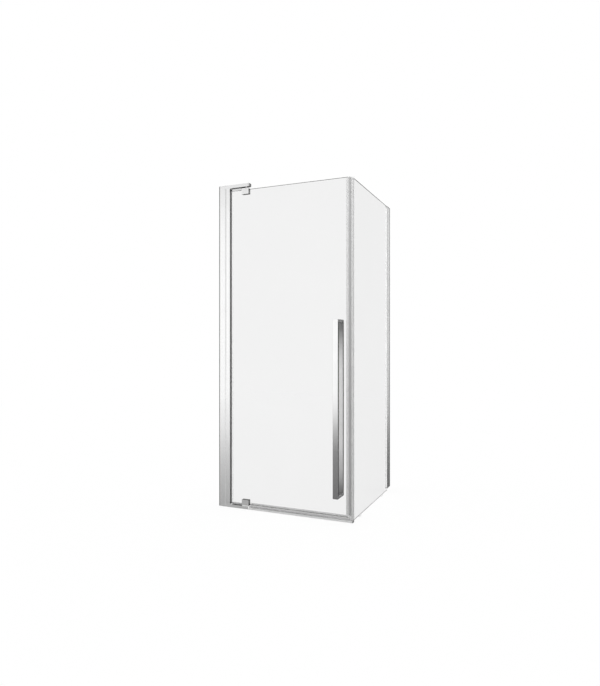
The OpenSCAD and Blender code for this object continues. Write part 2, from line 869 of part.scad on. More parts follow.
module handle_sleeves() {
    color("whitesmoke") placed() for (z = stud_heights) difference() {
        rod_y([handle_x, glass_y - glass_t / 2, z], sleeve_r - screw_gap, glass_t);
        rod_y([handle_x, glass_y - glass_t / 2 - cut, z], stud_r + screw_gap, glass_t + 2 * cut);
    }
}

module handle_washers() {
    color("whitesmoke") placed() for (z = stud_heights, side = [-1, 1]) difference() {
        y = glass_y + side * (glass_t / 2 + washer_t / 2);
        span([handle_x - bar_w / 2, y - washer_t / 2, z - return_h / 2],
             [handle_x + bar_w / 2, y + washer_t / 2, z + return_h / 2]);
        rod_y([handle_x, glass_y - glass_t, z], stud_r + screw_gap, 2 * glass_t);
    }
}

// Seals on the door's other edges

module door_bottom_seal() {
    lip_h = door_z0 - lower_seal_box_h - threshold_h - sweep_gap;
    color("whitesmoke", 0.7) placed()
        run_x(pivot_x + clamp_w / 2 + seal_clamp_gap, closing_magnet_x + magnet_w, door_z0)
            lipped_section(lower_seal_grip, lower_seal_box_h, lip_h);
}

// It reaches over the glass only from where the seal on the hinge edge ends
module hinge_seal_run(edge_gap) {
    lip_h = edge_gap - hinge_seal_box_h - hinge_lip_gap;
    corner_x = post_end_x + arm_fillet_r + hinge_lip_gap;
    difference() {
        translate([corner_x, 0, 0]) rotate([90, 0, 90])
            linear_extrude(pivot_x - clamp_w / 2 - lip_t - corner_x)
                lipped_section(hinge_seal_grip, hinge_seal_box_h, lip_h);
        span([corner_x - cut, -seal_half - cut, -screw_gap],
             [door_x0 + seal_grip, seal_half + cut, hinge_seal_grip + cut]);
    }
}

module hinge_bottom_seal() {
    color("whitesmoke", 0.7) placed() translate([0, glass_y, door_z0])
        hinge_seal_run(door_glass_lift);
}
module hinge_top_seal() {
    color("whitesmoke", 0.7) placed() translate([0, glass_y, door_z1]) mirror([0, 0, 1])
        hinge_seal_run(door_glass_drop);
}

module hinge_edge_seal() {
    color("whitesmoke", 0.7) placed() translate([door_x0, glass_y, door_z0])
        linear_extrude(door_z1 - door_z0) rotate(-90)
            clip_section(seal_grip - lip_t, hinge_edge_gap - hinge_seal_gap);
}

door_wall_channel();
door_channel_caps();
pivot_post();
door_adjust_screws();
top_arm();
bottom_arm();
arm_screws();
top_pivot_pin();
bottom_pivot_pin();
pivot_grub_screws();
top_arm_cap();
bottom_bearing_cap();
threshold();
threshold_end_cap();
side_glass();
side_wall_channel();
side_glazing_profile();
side_adjust_screws();
side_profile_caps();
side_outer_gasket();
side_inner_gasket();
side_edge_blocks();
side_setting_blocks();
strike_seal();
strike_magnet();
door_glass();
top_clamp_outer();
top_clamp_inner();
bottom_clamp_outer();
bottom_clamp_inner();
clamp_pads();
clamp_screws();
top_pivot_bush();
bottom_pivot_bush();
handle_outer();
handle_inner();
handle_studs();
handle_sleeves();
handle_washers();
closing_seal();
closing_magnet();
door_bottom_seal();
hinge_bottom_seal();
hinge_top_seal();
hinge_edge_seal();
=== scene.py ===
import json
import math

import bpy
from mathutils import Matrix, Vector


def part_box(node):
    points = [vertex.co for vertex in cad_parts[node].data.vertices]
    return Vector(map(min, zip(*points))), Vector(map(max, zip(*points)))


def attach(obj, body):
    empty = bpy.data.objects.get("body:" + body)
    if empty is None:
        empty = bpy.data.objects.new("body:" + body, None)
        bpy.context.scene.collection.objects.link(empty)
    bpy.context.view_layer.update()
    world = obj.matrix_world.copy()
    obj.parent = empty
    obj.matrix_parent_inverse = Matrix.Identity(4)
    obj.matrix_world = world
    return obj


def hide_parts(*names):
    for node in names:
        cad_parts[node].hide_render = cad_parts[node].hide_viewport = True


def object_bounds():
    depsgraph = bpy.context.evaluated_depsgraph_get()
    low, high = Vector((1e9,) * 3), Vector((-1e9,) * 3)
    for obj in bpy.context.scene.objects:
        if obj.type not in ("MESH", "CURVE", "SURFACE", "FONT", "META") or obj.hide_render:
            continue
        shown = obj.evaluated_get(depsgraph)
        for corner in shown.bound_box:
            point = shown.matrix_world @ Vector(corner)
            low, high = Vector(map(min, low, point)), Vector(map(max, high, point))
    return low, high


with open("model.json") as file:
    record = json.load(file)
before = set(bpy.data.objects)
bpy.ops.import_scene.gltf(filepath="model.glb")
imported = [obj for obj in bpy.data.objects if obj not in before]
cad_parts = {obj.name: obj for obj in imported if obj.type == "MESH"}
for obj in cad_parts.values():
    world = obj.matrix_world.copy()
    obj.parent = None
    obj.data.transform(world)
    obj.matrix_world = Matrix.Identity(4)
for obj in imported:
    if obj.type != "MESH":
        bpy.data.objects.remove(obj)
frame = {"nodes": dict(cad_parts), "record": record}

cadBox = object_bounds()
nodes = frame["nodes"]
record = frame["record"]
bodyOf = {node: body for body, members in record["behaviour"]["bodies"].items()
          for node in members}
print("frame loaded:", len(nodes), "parts")

# Camera: level, 1 m up, in front of the free corner
cameraView = {
    "place": (1.43881, -3.45983, 1.0136),
    "turn": 23.761,              # degrees to the left of straight ahead
    "lens": 29.89,
    "sensor": 36.0,
    "shift": (0.00595, 0.0014),
    "reach": (0.05, 100),
}


def makeCamera(view):
    bpy.ops.object.camera_add(location=view["place"],
                              rotation=(math.radians(90), 0, math.radians(view["turn"])))
    camera = bpy.context.object
    camera.name = "camera"
    lens = camera.data
    lens.lens = view["lens"]
    lens.sensor_width = view["sensor"]
    lens.shift_x, lens.shift_y = view["shift"]
    lens.clip_start, lens.clip_end = view["reach"]
    bpy.context.scene.camera = camera


# Small helpers for node trees
def addNode(tree, kind, **settings):
    node = tree.nodes.new(kind)
    for key, value in settings.items():
        setattr(node, key, value)
    return node


def setInputs(node, **values):
    for key, value in values.items():
        node.inputs[key.replace("_", " ")].default_value = value
    return node


def grey(level):
    return (level, level, level, 1)


# Studio: white all round, darker below the horizon, with dark cards that the metal shows
studio = {
    "strength": 1.0,
    # sine of the elevation, level; the second sky lies to the left of the camera
    "sky": ((-0.32, 0.12), (-0.248, 0.17), (-0.216, 0.20), (-0.183, 0.24), (-0.166, 0.32),
            (-0.149, 0.48), (-0.132, 0.68), (-0.115, 0.86), (-0.095, 0.97), (-0.07, 1.0),
            (0.215, 1.0), (0.265, 0.75), (0.40, 0.70)),
    "leftSky": ((-0.32, 0.29), (-0.253, 0.40), (-0.230, 0.45), (-0.198, 0.52),
                (-0.165, 0.73), (-0.135, 0.90), (-0.105, 1.0), (0.215, 1.0), (0.265, 0.76),
                (0.40, 0.70)),
    # heading, inner and outer half angle
    "leftSide": (-143.0, 11.0, 16.0),
    # the third sky is lighter and lies outside these headings
    "otherSky": ((-0.40, 0.50), (-0.2, 0.66), (-0.08, 0.88), (0.0, 1.0), (0.40, 0.85)),
    "frontHeadings": ((-157.0, 22.0, 30.0), (22.0, 12.0, 20.0)),
    # heading, inner and outer half angle, level
    "cards": ((29.0, 10.0, 17.5, 0.02), (-31.0, 8.0, 14.0, 0.02), (-89.0, 46.0, 56.0, 0.05),
              (110.0, 12.0, 30.0, 0.35)),
    "floorSize": 14.0,
    "floorGlow": 0.86,
    "floorColor": 0.8,
}


def tint(tree, mask, low, high):
    # a colour from low to high with the mask; each end is a grey level or a socket
    mix = addNode(tree, "ShaderNodeMix", data_type="RGBA")
    tree.links.new(mask, mix.inputs["Factor"])
    for socket, end in (("A", low), ("B", high)):
        if isinstance(end, (int, float)):
            mix.inputs[socket].default_value = grey(end)
        else:
            tree.links.new(end, mix.inputs[socket])
    return mix.outputs["Result"]


def addMath(tree, operation, first, second, clamp=False):
    # each side is a number or a socket
    node = addNode(tree, "ShaderNodeMath", operation=operation, use_clamp=clamp)
    for socket, side in zip(node.inputs, (first, second)):
        if isinstance(side, (int, float)):
            socket.default_value = side
        else:
            tree.links.new(side, socket)
    return node.outputs[0]


def addRamp(tree, value, stops):
    # grey levels along a value from 0 to 1: each stop is a position and a level
    ramp = addNode(tree, "ShaderNodeValToRGB")
    marks = ramp.color_ramp.elements
    while len(marks) < len(stops):
        marks.new(0.5)
    for mark, (position, level) in zip(marks, stops):
        mark.position = position
        mark.color = grey(level)
    tree.links.new(value, ramp.inputs["Fac"])
    return ramp.outputs["Color"]


def addSky(tree, height, levels):
    low, high = levels[0][0], levels[-1][0]
    spread = setInputs(addNode(tree, "ShaderNodeMapRange"), From_Min=low, From_Max=high)
    tree.links.new(height, spread.inputs["Value"])
    stops = [((sine - low) / (high - low), level) for sine, level in levels]
    return addRamp(tree, spread.outputs["Result"], stops)


def addHeadingMask(tree, heading, angle, inner, outer):
    turn = math.radians(angle)
    facing = addNode(tree, "ShaderNodeVectorMath", operation="DOT_PRODUCT")
    facing.inputs[1].default_value = (math.sin(turn), math.cos(turn), 0)
    tree.links.new(heading, facing.inputs[0])
    mask = addNode(tree, "ShaderNodeMapRange", interpolation_type="SMOOTHSTEP")
    setInputs(mask, From_Min=math.cos(math.radians(outer)),
              From_Max=math.cos(math.radians(inner)))
    tree.links.new(facing.outputs["Value"], mask.inputs["Value"])
    return mask.outputs["Result"]


def makeWorld():
    world = bpy.data.worlds.new("studio")
    bpy.context.scene.world = world
    world.use_nodes = True
    tree = world.node_tree
    tree.nodes.clear()
    link = tree.links.new
    out = addNode(tree, "ShaderNodeOutputWorld")
    background = addNode(tree, "ShaderNodeBackground")
    coord = addNode(tree, "ShaderNodeTexCoord")
    split = addNode(tree, "ShaderNodeSeparateXYZ")
    link(coord.outputs["Generated"], split.inputs[0])
    flat = addNode(tree, "ShaderNodeCombineXYZ")
    link(split.outputs["X"], flat.inputs["X"])
    link(split.outputs["Y"], flat.inputs["Y"])
    heading = addNode(tree, "ShaderNodeVectorMath", operation="NORMALIZE")
    link(flat.outputs[0], heading.inputs[0])
    rightSky = addSky(tree, split.outputs["Z"], studio["sky"])
    leftSky = addSky(tree, split.outputs["Z"], studio["leftSky"])
    side = addHeadingMask(tree, heading.outputs[0], *studio["leftSide"])
    frontSky = tint(tree, side, rightSky, leftSky)
    level = addSky(tree, split.outputs["Z"], studio["otherSky"])
    for limits in studio["frontHeadings"]:
        level = tint(tree, addHeadingMask(tree, heading.outputs[0], *limits), level, frontSky)
    for angle, inner, outer, dark in studio["cards"]:
        card = addHeadingMask(tree, heading.outputs[0], angle, inner, outer)
        level = tint(tree, card, level, dark)
    # Metal shows these levels, also through a pane; a pane's own reflection stays white
    path = addNode(tree, "ShaderNodeLightPath").outputs
    paneMirror = addMath(tree, "SUBTRACT", path["Is Singular Ray"], path["Is Transmission Ray"],
                         clamp=True)
    mirrored = addMath(tree, "MINIMUM", path["Glossy Depth"], 1.0)
    metal = addMath(tree, "SUBTRACT", mirrored, paneMirror, clamp=True)
    link(tint(tree, metal, 1.0, level), background.inputs["Color"])
    background.inputs["Strength"].default_value = studio["strength"]
    link(background.outputs[0], out.inputs["Surface"])


def mixShaders(tree, mask, first, second):
    mix = addNode(tree, "ShaderNodeMixShader")
    tree.links.new(mask, mix.inputs["Fac"])
    tree.links.new(first.outputs[0], mix.inputs[1])
    tree.links.new(second.outputs[0], mix.inputs[2])
    return mix


def makeFloor():
    bpy.ops.mesh.primitive_plane_add(size=studio["floorSize"], location=(0, 0, 0))
    floor = bpy.context.object
    floor.name = "floor"
    material = bpy.data.materials.new("paleFloor")
    material.use_nodes = True
    tree = material.node_tree
    tree.nodes.clear()
    link = tree.links.new
    out = addNode(tree, "ShaderNodeOutputMaterial")
    share = 1 - studio["floorGlow"]
    shaded = addNode(tree, "ShaderNodeBsdfDiffuse")
    shaded.inputs["Color"].default_value = grey(share)
    glow = addNode(tree, "ShaderNodeEmission")
    glow.inputs["Strength"].default_value = studio["floorGlow"]
    seen = addNode(tree, "ShaderNodeAddShader")
    link(glow.outputs[0], seen.inputs[0])
    link(shaded.outputs[0], seen.inputs[1])
    plain = addNode(tree, "ShaderNodeBsdfDiffuse")
    plain.inputs["Color"].default_value = grey(studio["floorColor"])
    # Seen directly the floor is white, it lights pieces as pale ground, and metal doesn't show it
    path = addNode(tree, "ShaderNodeLightPath").outputs
    direct = addMath(tree, "MAXIMUM", path["Is Camera Ray"], path["Is Transmission Ray"])
    ground = mixShaders(tree, direct, plain, seen)
    mirrored = addMath(tree, "MINIMUM", path["Glossy Depth"], 1.0)
    clear = addNode(tree, "ShaderNodeBsdfTransparent")
    link(mixShaders(tree, mirrored, ground, clear).outputs[0], out.inputs["Surface"])
    floor.data.materials.append(material)
    floor.visible_glossy = False


makeCamera(cameraView)
makeWorld()
makeFloor()
bpy.context.scene.view_settings.view_transform = "Standard"
print("camera, studio and floor made")


# Effects that several finishes share
def newGroup(name, inputs, output):
    tree = bpy.data.node_groups.new(name, "ShaderNodeTree")
    for label, kind, value in inputs:
        socket = tree.interface.new_socket(name=label, in_out="INPUT",
                                           socket_type="NodeSocket" + kind)
        socket.default_value = value
    tree.interface.new_socket(name=output, in_out="OUTPUT", socket_type="NodeSocketFloat")
    start = addNode(tree, "NodeGroupInput")
    end = addNode(tree, "NodeGroupOutput")
    return tree, start, end


def makeBrushing():
    # fine streaks: Stretch is how dense the noise is along x, y and z
    tree, start, end = newGroup("fineBrushing", (("Stretch", "Vector", (900, 900, 8)),
                                                 ("Detail", "Float", 2.0)), "Streaks")
    link = tree.links.new
    coord = addNode(tree, "ShaderNodeTexCoord")
    scaled = addNode(tree, "ShaderNodeVectorMath", operation="MULTIPLY")
    link(coord.outputs["Object"], scaled.inputs[0])
    link(start.outputs["Stretch"], scaled.inputs[1])
    noise = setInputs(addNode(tree, "ShaderNodeTexNoise"), Scale=1.0, Roughness=0.6)
    link(scaled.outputs[0], noise.inputs["Vector"])
    link(start.outputs["Detail"], noise.inputs["Detail"])
    link(noise.outputs["Fac"], end.inputs["Streaks"])
    return tree


def makeMottling():
    # soft cloudy marks, as wiped-off water leaves them
    tree, start, end = newGroup("wipedMarks", (("Scale", "Float", 9.0),
                                               ("Low", "Float", 0.35),
                                               ("High", "Float", 0.75)), "Marks")
    link = tree.links.new
    coord = addNode(tree, "ShaderNodeTexCoord")
    large = setInputs(addNode(tree, "ShaderNodeTexNoise"), Detail=4.0, Roughness=0.55,
                      Distortion=0.6)
    link(coord.outputs["Object"], large.inputs["Vector"])
    link(start.outputs["Scale"], large.inputs["Scale"])
    limits = addNode(tree, "ShaderNodeMapRange", interpolation_type="SMOOTHSTEP")
    link(large.outputs["Fac"], limits.inputs["Value"])
    link(start.outputs["Low"], limits.inputs["From Min"])
    link(start.outputs["High"], limits.inputs["From Max"])
    link(limits.outputs["Result"], end.inputs["Marks"])
    return tree


def makeDropMarks():
    # small round dried drops, thinly spread
    tree, start, end = newGroup("dropMarks", (("Density", "Float", 140.0),
                                              ("Size", "Float", 0.16)), "Drops")
    link = tree.links.new
    coord = addNode(tree, "ShaderNodeTexCoord")
    cells = addNode(tree, "ShaderNodeTexVoronoi", feature="F1")
    link(coord.outputs["Object"], cells.inputs["Vector"])
    link(start.outputs["Density"], cells.inputs["Scale"])
    spot = addMath(tree, "LESS_THAN", cells.outputs["Distance"], start.outputs["Size"])
    patch = setInputs(addNode(tree, "ShaderNodeTexNoise"), Scale=5.0, Detail=2.0)
    link(coord.outputs["Object"], patch.inputs["Vector"])
    some = addNode(tree, "ShaderNodeMapRange", interpolation_type="SMOOTHSTEP")
    setInputs(some, From_Min=0.5, From_Max=0.62)
    link(patch.outputs["Fac"], some.inputs["Value"])
    link(addMath(tree, "MULTIPLY", spot, some.outputs["Result"]), end.inputs["Drops"])
    return tree


def makeEdgeRub():
    # where edges are rubbed bright: the shading normal leaves the flat one near an edge
    tree, start, end = newGroup("edgeRub", (("Radius", "Float", 0.0015),
                                            ("Gain", "Float", 6.0)), "Rub")
    link = tree.links.new
    rounded = addNode(tree, "ShaderNodeBevel", samples=4)
    link(start.outputs["Radius"], rounded.inputs["Radius"])
    geometry = addNode(tree, "ShaderNodeNewGeometry")
    same = addNode(tree, "ShaderNodeVectorMath", operation="DOT_PRODUCT")
    link(rounded.outputs[0], same.inputs[0])
    link(geometry.outputs["Normal"], same.inputs[1])
    away = addMath(tree, "SUBTRACT", 1.0, same.outputs["Value"])
    gain = addMath(tree, "MULTIPLY", away, start.outputs["Gain"], clamp=True)
    link(gain, end.inputs["Rub"])
    return tree


def makeHeightFade():
    # 0 at the floor end and 1 at the top end of a height range
    tree, start, end = newGroup("heightFade", (("Bottom", "Float", 0.0),
                                               ("Top", "Float", 2.0)), "Fade")
    link = tree.links.new
    coord = addNode(tree, "ShaderNodeTexCoord")
    split = addNode(tree, "ShaderNodeSeparateXYZ")
    link(coord.outputs["Object"], split.inputs[0])
    fade = addNode(tree, "ShaderNodeMapRange")
    link(split.outputs["Z"], fade.inputs["Value"])
    link(start.outputs["Bottom"], fade.inputs["From Min"])
    link(start.outputs["Top"], fade.inputs["From Max"])
    link(fade.outputs["Result"], end.inputs["Fade"])
    return tree


brushing = makeBrushing()
wipedMarks = makeMottling()
dropMarks = makeDropMarks()
edgeRub = makeEdgeRub()
heightFade = makeHeightFade()


def startFinish(name, **values):
    material = bpy.data.materials.new(name)
    material.use_nodes = True
    tree = material.node_tree
    shader = setInputs(tree.nodes["Principled BSDF"], **values)
    return material, tree, shader


def place(tree, group, **values):
    return setInputs(addNode(tree, "ShaderNodeGroup", node_tree=group), **values).outputs[0]


def between(tree, mask, low, high):
    # a value that runs from low to high with the mask
    spread = setInputs(addNode(tree, "ShaderNodeMapRange"), To_Min=low, To_Max=high)
    tree.links.new(mask, spread.inputs["Value"])
    return spread.outputs["Result"]


# painted shade: grey levels by height that multiply a metal's colour
def levelsByHeight(tree, bottom, top, stops):
    return addRamp(tree, place(tree, heightFade, Bottom=bottom, Top=top), stops)


def multiplied(tree, first, second):
    product = addNode(tree, "ShaderNodeMix", data_type="RGBA", blend_type="MULTIPLY")
    product.inputs["Factor"].default_value = 1.0
    tree.links.new(first, product.inputs["A"])
    tree.links.new(second, product.inputs["B"])
    return product.outputs["Result"]


bumpDepth = 0.0002


def addBump(tree, shader, height, strength):
    bump = setInputs(addNode(tree, "ShaderNodeBump"), Strength=strength, Distance=bumpDepth)
    tree.links.new(height, bump.inputs["Height"])
    tree.links.new(bump.outputs[0], shader.inputs["Normal"])


# Metals: streaks along the piece, wiped marks, dried drops and edges that are rubbed bright; some
# also carry painted shade by height (levels) and painted light (glow)
metals = {
    "postAluminium": {"metallic": 0.95, "color": (0.98, 0.99), "edge": 1.0,
                      "rough": (0.13, 0.16), "marks": 0.02, "stretch": (700, 700, 3),
                      "bump": 0.015},
    # painted shade: a copy of the post aluminium for its recess faces, darker in the upper half
    "recessAluminium": {"metallic": 0.95, "color": (0.97, 0.99), "edge": 1.0,
                        "rough": (0.13, 0.17), "marks": 0.03, "stretch": (700, 700, 3),
                        "bump": 0.015, "levels": ((0.05, 1.0), (0.35, 0.98), (0.5, 0.88))},
    # painted light and shade: the groove and channel faces glow, darker towards the floor
    "grooveAluminium": {"metallic": 0.5, "color": (0.93, 0.97), "edge": 1.0,
                        "rough": (0.2, 0.26), "marks": 0.03, "stretch": (700, 700, 3),
                        "bump": 0.02, "glow": 0.5,
                        "levels": ((0.06, 0.20), (0.19, 0.45), (0.4, 0.80), (0.9, 0.85))},
    "armAluminium": {"metallic": 0.93, "color": (0.96, 0.99), "edge": 1.0,
                     "rough": (0.13, 0.17), "marks": 0.03, "stretch": (3, 700, 700),
                     "bump": 0.03},
    "paleAluminium": {"metallic": 0.93, "color": (0.97, 0.99), "edge": 1.0,
                      "rough": (0.13, 0.17), "marks": 0.03, "stretch": (700, 700, 3),
                      "bump": 0.025},
    # painted shade: darker than the other aluminium, darkest about 0.7 m up
    "sideAluminium": {"metallic": 0.86, "color": (0.80, 0.84), "edge": 0.95,
                      "rough": (0.13, 0.17), "marks": 0.03, "stretch": (700, 700, 3),
                      "bump": 0.025, "levels": ((0.12, 1.0), (0.19, 0.84), (0.26, 0.73),
                                                (0.33, 0.65), (0.40, 0.68), (0.54, 0.76),
                                                (0.675, 0.88), (0.88, 1.0))},
    "thresholdAluminium": {"metallic": 0.45, "color": (0.86, 0.92), "edge": 0.95,
                           "rough": (0.32, 0.42), "marks": 0.05, "stretch": (3, 700, 700),
                           "bump": 0.06},
    "clampChrome": {"metallic": 0.95, "color": (0.95, 0.98), "edge": 1.0,
                    "rough": (0.07, 0.10), "marks": 0.03, "stretch": (30, 500, 500),
                    "bump": 0.03},
    # painted shade: a dark copy of the clamp chrome for the clamps' top and bottom faces
    "darkUnderside": {"metallic": 0.95, "color": (0.20, 0.24), "edge": 0.6,
                      "rough": (0.20, 0.28), "marks": 0.03, "stretch": (400, 400, 400),
                      "bump": 0.05},
    "handleChrome": {"metallic": 1.0, "color": (0.94, 0.97), "edge": 1.0,
                     "rough": (0.06, 0.1), "marks": 0.03, "stretch": (900, 900, 3),
                     "bump": 0.03},
    # painted light: a less metallic copy of the handle chrome, lighter on the returns' sides
    "handleReturn": {"metallic": 0.80, "color": (0.94, 0.97), "edge": 1.0,
                     "rough": (0.08, 0.12), "marks": 0.03, "stretch": (900, 900, 3),
                     "bump": 0.03},
    # painted highlight: the lower returns' top faces glow
    "handleLit": {"metallic": 0.2, "color": (0.94, 0.97), "edge": 1.0,
                  "rough": (0.12, 0.16), "marks": 0.03, "stretch": (900, 900, 3),
                  "bump": 0.03, "glow": 0.9, "levels": ((0.0, 1.0), (1.0, 1.0))},
    # painted shade and light: the inner bar's faces towards the pane, dark at both ends, with a
    # glow
    "handleShade": {"metallic": 0.25, "color": (0.95, 1.0), "edge": 1.0,
                    "rough": (0.28, 0.34), "marks": 0.03, "stretch": (900, 900, 3),
                    "bump": 0.03, "heights": (0.135, 1.154), "glow": 0.2,
                    "levels": ((0.031, 0.23), (0.088, 0.43), (0.144, 0.58), (0.201, 0.66),
                               (0.258, 0.78), (0.316, 0.85), (0.543, 0.84), (0.713, 0.87),
                               (0.77, 0.77), (0.827, 0.64), (0.884, 0.45), (0.941, 0.27),
                               (0.986, 0.21))},
    "silverCap": {"metallic": 0.88, "color": (0.90, 0.95), "edge": 0.98,
                  "rough": (0.2, 0.26), "marks": 0.03, "stretch": (600, 600, 600),
                  "bump": 0.08},
    "screwSteel": {"metallic": 1.0, "color": (0.62, 0.72), "edge": 0.85,
                   "rough": (0.2, 0.3), "marks": 0.04, "stretch": (400, 400, 400),
                   "bump": 0.05},
}


def metalFinish(name, metallic, color, edge, rough, marks, stretch, bump,
                levels=None, heights=(0.0, 2.0), glow=0.0):
    # levels are painted shade that darken the metal over the heights, each stop a share of them
    # and a level;
    # glow is painted light, an emission that stands in for light from what the face looks at
    material, tree, shader = startFinish(name, Metallic=metallic, Emission_Strength=glow)
    streaks = place(tree, brushing, Stretch=stretch, Detail=2.0)
    wiped = place(tree, wipedMarks, Scale=7.0, Low=0.35, High=0.75)
    drops = place(tree, dropMarks, Density=130.0, Size=0.14)
    rub = place(tree, edgeRub, Radius=0.0012, Gain=5.0)
    coat = tint(tree, rub, tint(tree, wiped, *color), edge)
    if levels:
        coat = multiplied(tree, coat, levelsByHeight(tree, *heights, levels))
        tree.links.new(coat, shader.inputs["Emission Color"])
    tree.links.new(coat, shader.inputs["Base Color"])
    base = between(tree, streaks, *rough)
    dull = addMath(tree, "ADD", base, between(tree, wiped, marks, 0.0))
    total = addMath(tree, "ADD", dull, between(tree, drops, 0.0, marks))
    tree.links.new(total, shader.inputs["Roughness"])
    addBump(tree, shader, streaks, bump)
    return material


# Panes: clear with a faint film; their opaque edges carry painted shade, dark on the level edges,
# and painted light, a glow on the pale polished upright edges
glasses = {
    "doorGlass": {"film": (0.884, 0.892), "ior": 1.3},
    "sideGlass": {"film": (0.884, 0.892), "ior": 1.06},
}
paneEdges = {
    "doorEdge": {"color": (0.05, 0.09), "glow": 0.0, "shine": 0.0},
    "sideTopEdge": {"color": (0.05, 0.09), "glow": 0.0, "shine": 0.5},
    "sideBottomEdge": {"color": (0.30, 0.36), "glow": 0.0, "shine": 0.5},
    "uprightEdge": {"color": (0.64, 0.68), "glow": 0.32, "shine": 0.5},
}


def paneFinish(name, film, ior):
    material, tree, shader = startFinish(name, Roughness=0.0, Transmission_Weight=1.0, IOR=ior)
    marks = place(tree, wipedMarks, Scale=2.5, Low=0.3, High=0.8)
    tree.links.new(tint(tree, marks, *film), shader.inputs["Base Color"])
    return material


def paneEdgeFinish(name, color, glow, shine):
    # glow is painted light: an emission standing in for the light that a polished edge carries out
    # of the pane
    material, tree, shader = startFinish(name, Emission_Color=grey(glow), Emission_Strength=1.0,
                                         Specular_IOR_Level=shine)
    grain = place(tree, brushing, Stretch=(1500, 1500, 1500), Detail=3.0)
    wiped = place(tree, wipedMarks, Scale=25.0, Low=0.3, High=0.7)
    tree.links.new(tint(tree, wiped, *color), shader.inputs["Base Color"])
    tree.links.new(between(tree, grain, low=0.28, high=0.42), shader.inputs["Roughness"])
    addBump(tree, shader, grain, strength=0.15)
    return material


# Clear plastics: see-through by their alpha, with painted shade: darker and less see-through
# towards the floor
plastics = {
    "sealLeg": {"color": (0.24, 0.60), "alpha": (0.17, 0.105), "rough": (0.25, 0.38)},
    "sealBody": {"color": (0.36, 0.66), "alpha": (0.27, 0.18), "rough": (0.25, 0.38)},
    "sealFaint": {"color": (0.40, 0.72), "alpha": (0.06, 0.04), "rough": (0.25, 0.38)},
    "clearPads": {"color": (0.62, 0.72), "alpha": (0.5, 0.5), "rough": (0.3, 0.4)},
    "clearBlocks": {"color": (0.66, 0.76), "alpha": (0.16, 0.16), "rough": (0.3, 0.4)},
}


def plasticFinish(name, color, alpha, rough):
    material, tree, shader = startFinish(name, IOR=1.4)
    height = place(tree, heightFade, Bottom=0.0, Top=2.0)
    haze = place(tree, wipedMarks, Scale=14.0, Low=0.3, High=0.8)
    lines = place(tree, brushing, Stretch=(300, 300, 1.5), Detail=2.0)
    # painted shade: colour and alpha by height
    tree.links.new(tint(tree, height, *color), shader.inputs["Base Color"])
    cloudy = addMath(tree, "MULTIPLY", between(tree, height, *alpha),
                     between(tree, haze, low=0.97, high=1.03))
    tree.links.new(cloudy, shader.inputs["Alpha"])
    tree.links.new(between(tree, lines, *rough), shader.inputs["Roughness"])
    addBump(tree, shader, lines, strength=0.02)
    return material


# Solid plastics and rubbers: moulded grain and wiped marks
mouldings = {
    # painted shade: the magnets are darker towards the floor
    "magnetRubber": {"color": (0.37, 0.55), "rough": (0.42, 0.55), "grain": 260, "bump": 0.08,
                     "fade": True},
    # painted light: the pale gaskets glow
    "paleGasket": {"color": (0.78, 0.86), "rough": (0.55, 0.7), "grain": 420, "bump": 0.15,
                   "glow": 0.45},
    "darkCap": {"color": (0.17, 0.21), "rough": (0.35, 0.5), "grain": 600, "bump": 0.12},
    "whiteNylon": {"color": (0.80, 0.86), "rough": (0.38, 0.5), "grain": 500, "bump": 0.1},
}


mouldedWear = {"lighter": 1.15, "marks": 0.05}


def mouldedFinish(name, color, rough, grain, bump, fade=False, glow=0.0):
    # fade is painted shade that makes it lighter with height, and glow is painted light, an
    # emission standing in for light that a clear gasket carries
    material, tree, shader = startFinish(name, Emission_Color=grey(glow), Emission_Strength=1.0)
    texture = place(tree, brushing, Stretch=(grain, grain, grain), Detail=3.0)
    wiped = place(tree, wipedMarks, Scale=18.0, Low=0.3, High=0.75)
    mask = place(tree, heightFade, Bottom=0.0, Top=2.0) if fade else wiped
    rub = place(tree, edgeRub, Radius=0.0008, Gain=4.0)
    rubbed = min(1.0, color[1] * mouldedWear["lighter"])
    tree.links.new(tint(tree, rub, tint(tree, mask, *color), rubbed),
                   shader.inputs["Base Color"])
    marked = addMath(tree, "ADD", between(tree, texture, *rough),
                     between(tree, wiped, mouldedWear["marks"], 0.0))
    tree.links.new(marked, shader.inputs["Roughness"])
    addBump(tree, shader, texture, bump)
    return material


finishes = {}
for kind, makeFinish in ((metals, metalFinish), (glasses, paneFinish), (paneEdges, paneEdgeFinish),
                         (plastics, plasticFinish), (mouldings, mouldedFinish)):
    for name, settings in kind.items():
        finishes[name] = makeFinish(name, **settings)
print("finishes made:", len(finishes))


# Small helpers for modelling. Lengths are in metres and angles in degrees; facing is the
# least part of a face's normal along an axis for the face to look that way
modelling = {"merge": 0.00001, "mergeCopy": 0.000002, "flatAngle": 0.5, "smoothAngle": 50,
             "edgeAngle": 30, "facing": 0.9, "topBand": 0.001}


def makeActive(piece):
    bpy.ops.object.select_all(action="DESELECT")
    piece.select_set(True)
    bpy.context.view_layer.objects.active = piece


def selectFaces(piece, wanted):
    makeActive(piece)
    bpy.ops.object.mode_set(mode="EDIT")
    bpy.ops.mesh.select_mode(type="FACE")
    bpy.ops.mesh.select_all(action="DESELECT")
    bpy.ops.object.mode_set(mode="OBJECT")
    for face in piece.data.polygons:
        face.select = wanted(face)
    bpy.ops.object.mode_set(mode="EDIT")


def settle(piece):
    # the piece's place and size go into its mesh
    makeActive(piece)
    bpy.ops.object.transform_apply(location=True, rotation=True, scale=True)
    bpy.ops.object.mode_set(mode="EDIT")
    bpy.ops.mesh.select_all(action="SELECT")
    bpy.ops.mesh.remove_doubles(threshold=modelling["merge"])
    bpy.ops.mesh.normals_make_consistent(inside=False)
    bpy.ops.object.mode_set(mode="OBJECT")


